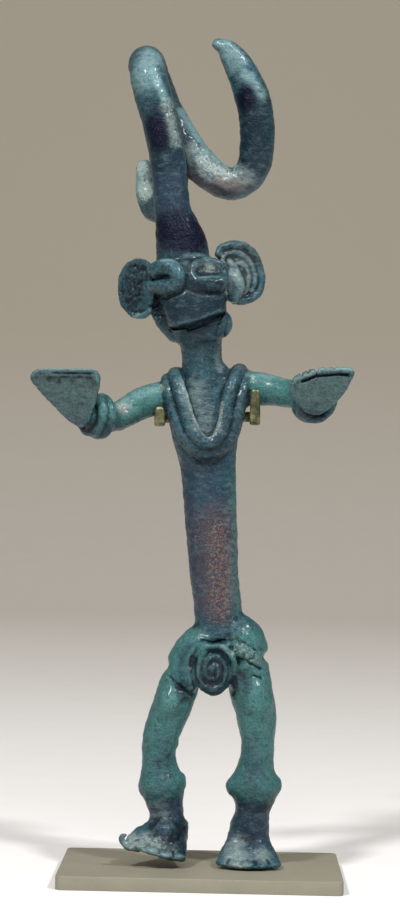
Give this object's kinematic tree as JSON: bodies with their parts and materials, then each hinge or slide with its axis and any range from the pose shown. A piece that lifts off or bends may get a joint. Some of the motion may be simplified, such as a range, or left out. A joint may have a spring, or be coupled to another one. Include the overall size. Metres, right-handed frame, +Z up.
{
  "type": "bronze figurine",
  "caption": "Small cast bronze figure of a horned, coil-eyed being with open hands, held upright over a painted foot plate by a bent brass rod.",
  "frame": {"origin": "centre of the foot plate's underside", "axes": "+Z up, the figure faces -Y, +X towards the viewer's right"},
  "size_m": [0.0767, 0.0485, 0.2002],
  "materials": {
    "patinated_bronze": "solid cast bronze under a blue-green patina, satin, with pale and dark patches",
    "taupe_paint": "matte taupe paint on steel plate",
    "mount_brass": "dull olive-toned brass rod and strip"
  },
  "bodies": {
    "root": {"figurine": "patinated_bronze", "foot_plate": "taupe_paint", "support_rod": "mount_brass"}
  },
  "joints": []
}
